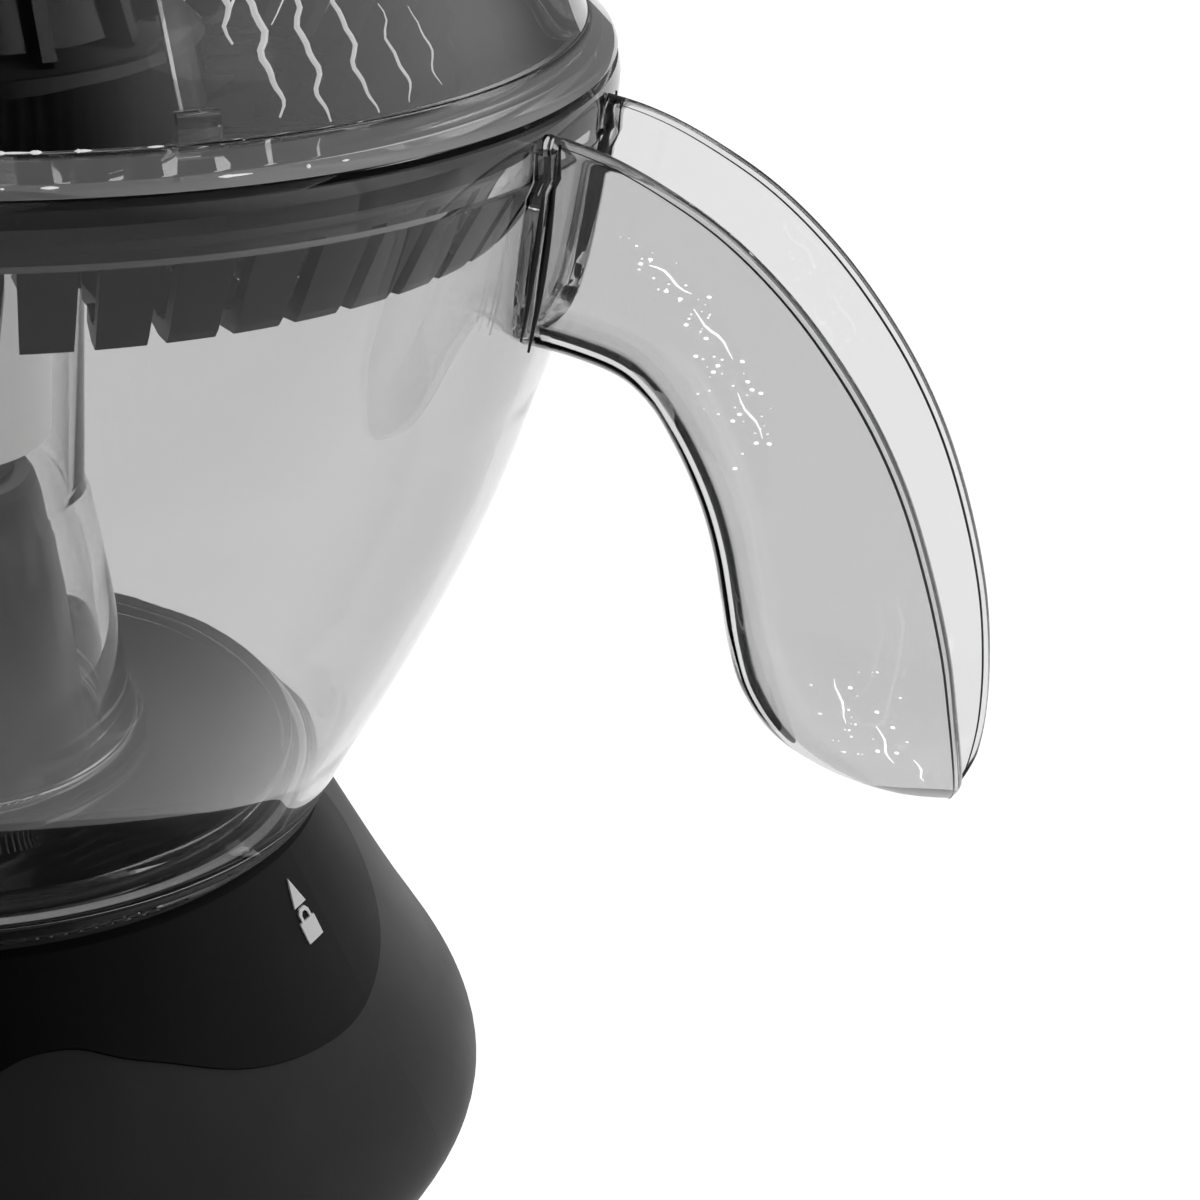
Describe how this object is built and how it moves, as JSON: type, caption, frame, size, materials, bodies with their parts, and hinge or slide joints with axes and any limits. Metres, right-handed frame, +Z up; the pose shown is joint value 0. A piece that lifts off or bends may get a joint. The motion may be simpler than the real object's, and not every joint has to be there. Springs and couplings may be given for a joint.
{
  "type": "citrus juicer",
  "caption": "Electric citrus press: dark motor base, clear jug with a drooping open-channel handle, slotted strainer, ribbed reamer and clear domed cover.",
  "frame": {"origin": "on the drive axis, at the flat underside of the bottom plate, 1.5 mm above the table the rubber feet stand on", "axes": "+Z up along the drive axis, +X from the axis towards the jug's handle, so the pouring lip and the lead's inlet face -X"},
  "size_m": [0.2069, 0.1508, 0.1937],
  "materials": {
    "black_shell": "fine satin grain",
    "apron_black": "satin",
    "print_white": "pad print",
    "deck_grey": "satin",
    "panel_black": "gloss",
    "plate_black": "matt",
    "foot_rubber": "matt rubber",
    "steel": "zinc plated",
    "lamination": "stacked sheet",
    "copper": "enamelled copper",
    "brass": "turned",
    "gear_plastic": "acetal",
    "shaft_steel": "ground",
    "spring_steel": "drawn wire",
    "block_white": "nylon",
    "switch_black": "phenolic",
    "plunger_red": "nylon",
    "clear_jug": "clear, faint smoke tint",
    "clear_cover": "clear, faint smoke tint",
    "strainer_black": "semi-gloss",
    "reamer_black": "gloss",
    "sleeve_pale": "satin"
  },
  "bodies": {
    "base": {"base_housing": "black_shell", "front_apron": "apron_black", "lock_marks": "print_white", "top_deck": "deck_grey", "deck_panel": "panel_black", "base_plate": "plate_black", "rubber_feet": "foot_rubber", "plate_screws": "steel", "cord_inlet": "foot_rubber", "motor_stator": "lamination", "motor_coil": "copper", "shading_rings": "copper", "motor_bracket": "steel", "gearbox_plate": "steel", "gearbox_pillars": "brass", "gearbox_screws": "steel", "plate_bearings": "brass", "idler_pin": "shaft_steel", "terminal_block": "block_white", "switch_body": "switch_black", "shaft_bushing": "brass", "shaft_seal": "foot_rubber"},
    "output": {"output_gear": "gear_plastic", "return_spring": "spring_steel"},
    "idler": {"idler_gear": "gear_plastic"},
    "rotor": {"motor_rotor": "steel", "rotor_pinion": "brass"},
    "shaft": {"drive_shaft": "shaft_steel"},
    "reamer": {"reamer": "reamer_black", "drive_sleeve": "sleeve_pale"},
    "plunger": {"switch_plunger": "plunger_red"},
    "jug": {"jug": "clear_jug", "jug_handle": "clear_jug"},
    "strainer": {"strainer": "strainer_black"},
    "cover": {"dust_cover": "clear_cover"}
  },
  "joints": [
    {"name": "drive_spin", "type": "hinge", "parent": "base", "child": "output", "pos_m": [0, 0, 0.041], "axis": [0, 0, 1], "continuous": true},
    {"name": "idler_spin", "type": "hinge", "parent": "base", "child": "idler", "pos_m": [-0.02508, 0.01244, 0.038], "axis": [0, 0, 1], "continuous": true},
    {"name": "rotor_spin", "type": "hinge", "parent": "base", "child": "rotor", "pos_m": [-0.01, 0.029, 0.02], "axis": [0, 0, 1], "continuous": true},
    {"name": "press", "type": "slide", "parent": "output", "child": "shaft", "axis": [0, 0, 1], "range_m": [-0.0025, 0], "stiffness_N_per_m": 500, "springref_m": 0.006, "deforming": ["return_spring"]},
    {"name": "plunger_press", "type": "slide", "parent": "base", "child": "plunger", "axis": [0, 0, 1], "range_m": [-0.0025, 0]},
    {"name": "reamer_lift", "type": "slide", "parent": "shaft", "child": "reamer", "axis": [0, 0, 1], "range_m": [0, 0.06]},
    {"name": "jug_twist", "type": "hinge", "parent": "base", "child": "jug", "pos_m": [0, 0, 0.053], "axis": [0, 0, 1], "range_deg": [0, 25]},
    {"name": "strainer_lift", "type": "slide", "parent": "jug", "child": "strainer", "axis": [0, 0, 1], "range_m": [0, 0.06]},
    {"name": "cover_lift", "type": "slide", "parent": "strainer", "child": "cover", "axis": [0, 0, 1], "range_m": [0, 0.08]}
  ],
  "couplings": [
    {"joint": "idler_spin", "follows": "rotor_spin", "ratio": -0.33333},
    {"joint": "drive_spin", "follows": "rotor_spin", "ratio": 0.11111},
    {"joint": "plunger_press", "follows": "press", "ratio": 1},
    {"joint": "reamer_lift", "follows": "strainer_lift", "ratio": 1}
  ]
}
